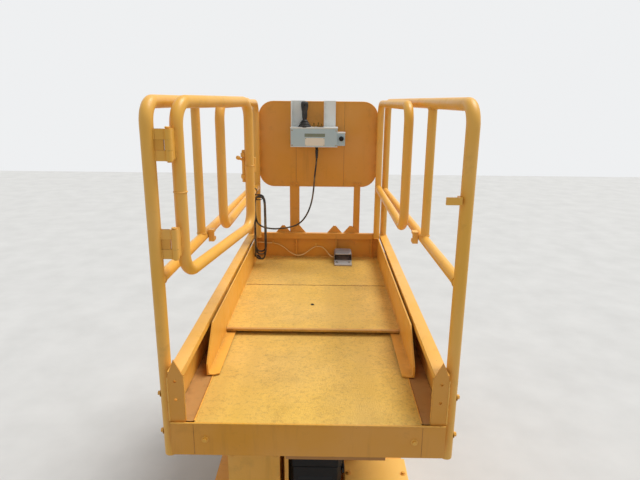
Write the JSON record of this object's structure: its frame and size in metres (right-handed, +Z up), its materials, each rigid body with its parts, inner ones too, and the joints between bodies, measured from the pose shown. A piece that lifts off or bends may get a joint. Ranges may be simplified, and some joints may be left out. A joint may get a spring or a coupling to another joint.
{
  "type": "slab scissor lift",
  "caption": "Compact self-propelled scissor lift, stowed, with railed platform, slide-out deck, swing gate, control box, foot switch, scissor stack and steered wheels.",
  "frame": {"origin": "on the ground, under the middle of the whole stowed machine", "axes": "+Z up, +Y forward from the entry end to the control panel, +X to the operator's right"},
  "size_m": [0.9646, 1.816, 1.984],
  "materials": {
    "yellow_paint": "gloss",
    "deck_paint": "anti-slip",
    "dark_metal": "matt",
    "tyre": "matt",
    "rim": "satin",
    "chrome_rod": "polished",
    "black_plastic": "matt",
    "nylon": "matt",
    "box_grey": "satin",
    "cord_rubber": "matt",
    "cable_sheath": "matt"
  },
  "bodies": {
    "chassis": {"chassis_hull": "yellow_paint", "chassis_top": "yellow_paint", "lower_tracks": "yellow_paint", "wheel_carriers": "yellow_paint", "side_trays": "yellow_paint", "power_blocks": "dark_metal", "rear_cover": "black_plastic", "rear_housing": "yellow_paint", "entry_ladder": "yellow_paint", "tie_down_lugs": "yellow_paint"},
    "door_right": {"tray_door_right": "yellow_paint"},
    "door_left": {"tray_door_left": "yellow_paint"},
    "knuckle_right": {"knuckle_right": "dark_metal"},
    "knuckle_left": {"knuckle_left": "dark_metal"},
    "lift_barrel": {"lift_barrel": "yellow_paint"},
    "lift_rod": {"lift_rod": "chrome_rod"},
    "platform": {"main_deck": "deck_paint", "side_walls": "yellow_paint", "rear_fascia": "yellow_paint", "upper_tracks": "yellow_paint", "main_rail_right": "yellow_paint", "main_rail_left": "yellow_paint", "gate_hinges": "yellow_paint", "rail_catches": "yellow_paint"},
    "slide_out_deck": {"slide_deck": "deck_paint", "slide_webs": "yellow_paint", "wear_pads": "nylon", "front_wall": "yellow_paint", "slide_rail_right": "yellow_paint", "slide_rail_left": "yellow_paint", "front_panel": "yellow_paint", "control_box": "box_grey", "control_guards": "box_grey", "control_levers": "black_plastic", "cord_glands": "black_plastic", "foot_switch": "box_grey", "control_cord": "cord_rubber", "cord_tail": "cord_rubber", "cord_hank": "cord_rubber", "switch_cable": "cable_sheath"},
    "gate": {"swing_gate": "yellow_paint"},
    "outer_1": {"outer_arms_1": "yellow_paint"},
    "inner_1": {"inner_arms_1": "yellow_paint", "lower_rollers": "nylon"},
    "outer_2": {"outer_arms_2": "yellow_paint"},
    "inner_2": {"inner_arms_2": "yellow_paint"},
    "outer_3": {"outer_arms_3": "yellow_paint"},
    "inner_3": {"inner_arms_3": "yellow_paint"},
    "outer_4": {"outer_arms_4": "yellow_paint", "upper_rollers": "nylon"},
    "inner_4": {"inner_arms_4": "yellow_paint"},
    "wheel_front_right": {"tyre_front_right": "tyre", "rim_front_right": "rim"},
    "wheel_front_left": {"tyre_front_left": "tyre", "rim_front_left": "rim"},
    "wheel_rear_right": {"tyre_rear_right": "tyre", "rim_rear_right": "rim"},
    "wheel_rear_left": {"tyre_rear_left": "tyre", "rim_rear_left": "rim"}
  },
  "joints": [
    {"name": "stack_lift", "type": "hinge", "parent": "chassis", "child": "outer_1", "pos_m": [0, -0.45, 0.4], "axis": [1, 0, 0], "range_deg": [0, 52]},
    {"name": "inner_1_pivot", "type": "hinge", "parent": "outer_1", "child": "inner_1", "pos_m": [0, 0.18192, 0.4625], "axis": [1, 0, 0], "range_deg": [-104, 0]},
    {"name": "outer_2_pivot", "type": "hinge", "parent": "inner_1", "child": "outer_2", "pos_m": [0, -0.45, 0.525], "axis": [1, 0, 0], "range_deg": [0, 104]},
    {"name": "inner_2_pivot", "type": "hinge", "parent": "outer_2", "child": "inner_2", "pos_m": [0, 0.18192, 0.5875], "axis": [1, 0, 0], "range_deg": [-104, 0]},
    {"name": "outer_3_pivot", "type": "hinge", "parent": "inner_2", "child": "outer_3", "pos_m": [0, -0.45, 0.65], "axis": [1, 0, 0], "range_deg": [0, 104]},
    {"name": "inner_3_pivot", "type": "hinge", "parent": "outer_3", "child": "inner_3", "pos_m": [0, 0.18192, 0.7125], "axis": [1, 0, 0], "range_deg": [-104, 0]},
    {"name": "outer_4_pivot", "type": "hinge", "parent": "inner_3", "child": "outer_4", "pos_m": [0, -0.45, 0.775], "axis": [1, 0, 0], "range_deg": [0, 104]},
    {"name": "inner_4_pivot", "type": "hinge", "parent": "outer_4", "child": "inner_4", "pos_m": [0, 0.18192, 0.8375], "axis": [1, 0, 0], "range_deg": [-104, 0]},
    {"name": "platform_pivot", "type": "hinge", "parent": "inner_4", "child": "platform", "pos_m": [0, -0.45, 0.9], "axis": [1, 0, 0], "range_deg": [0, 52]},
    {"name": "barrel_foot", "type": "hinge", "parent": "inner_1", "child": "lift_barrel", "pos_m": [0, -0.06445, 0.46074], "axis": [1, 0, 0], "range_deg": [0, 102.89]},
    {"name": "rod_slide", "type": "slide", "parent": "lift_barrel", "child": "lift_rod", "axis": [0, 0.9706, 0.2409], "range_m": [0, 0.21604]},
    {"name": "steer_right", "type": "hinge", "parent": "chassis", "child": "knuckle_right", "pos_m": [0.252, 0.64, 0.22], "axis": [0, 0, 1], "range_deg": [-35, 35]},
    {"name": "steer_left", "type": "hinge", "parent": "chassis", "child": "knuckle_left", "pos_m": [-0.252, 0.64, 0.22], "axis": [0, 0, 1], "range_deg": [-35, 35]},
    {"name": "front_wheel_right", "type": "hinge", "parent": "knuckle_right", "child": "wheel_front_right", "pos_m": [0.347, 0.64, 0.152], "axis": [1, 0, 0], "continuous": true},
    {"name": "rear_wheel_right", "type": "hinge", "parent": "chassis", "child": "wheel_rear_right", "pos_m": [0.347, -0.64, 0.152], "axis": [1, 0, 0], "continuous": true},
    {"name": "tray_door_right_hinge", "type": "hinge", "parent": "chassis", "child": "door_right", "pos_m": [0.394, 0, 0.1087], "axis": [0, 1, 0], "range_deg": [0, 90]},
    {"name": "front_wheel_left", "type": "hinge", "parent": "knuckle_left", "child": "wheel_front_left", "pos_m": [-0.347, 0.64, 0.152], "axis": [1, 0, 0], "continuous": true},
    {"name": "rear_wheel_left", "type": "hinge", "parent": "chassis", "child": "wheel_rear_left", "pos_m": [-0.347, -0.64, 0.152], "axis": [1, 0, 0], "continuous": true},
    {"name": "tray_door_left_hinge", "type": "hinge", "parent": "chassis", "child": "door_left", "pos_m": [-0.394, 0, 0.1087], "axis": [0, -1, 0], "range_deg": [0, 90]},
    {"name": "slide_out", "type": "slide", "parent": "platform", "child": "slide_out_deck", "axis": [0, 1, 0], "range_m": [0, 0.9]},
    {"name": "gate_swing", "type": "hinge", "parent": "platform", "child": "gate", "pos_m": [-0.403, -0.855, 1.7], "axis": [0, 0, -1], "range_deg": [0, 80.5]}
  ],
  "couplings": [
    {"joint": "inner_1_pivot", "follows": "stack_lift", "ratio": -2},
    {"joint": "outer_2_pivot", "follows": "stack_lift", "ratio": 2},
    {"joint": "inner_2_pivot", "follows": "stack_lift", "ratio": -2},
    {"joint": "outer_3_pivot", "follows": "stack_lift", "ratio": 2},
    {"joint": "inner_3_pivot", "follows": "stack_lift", "ratio": -2},
    {"joint": "outer_4_pivot", "follows": "stack_lift", "ratio": 2},
    {"joint": "inner_4_pivot", "follows": "stack_lift", "ratio": -2},
    {"joint": "platform_pivot", "follows": "stack_lift", "ratio": 1},
    {"joint": "barrel_foot", "follows": "stack_lift", "ratio": 1.9784},
    {"joint": "rod_slide", "follows": "stack_lift", "m_per_rad": 0.23793},
    {"joint": "steer_left", "follows": "steer_right", "ratio": 1}
  ]
}
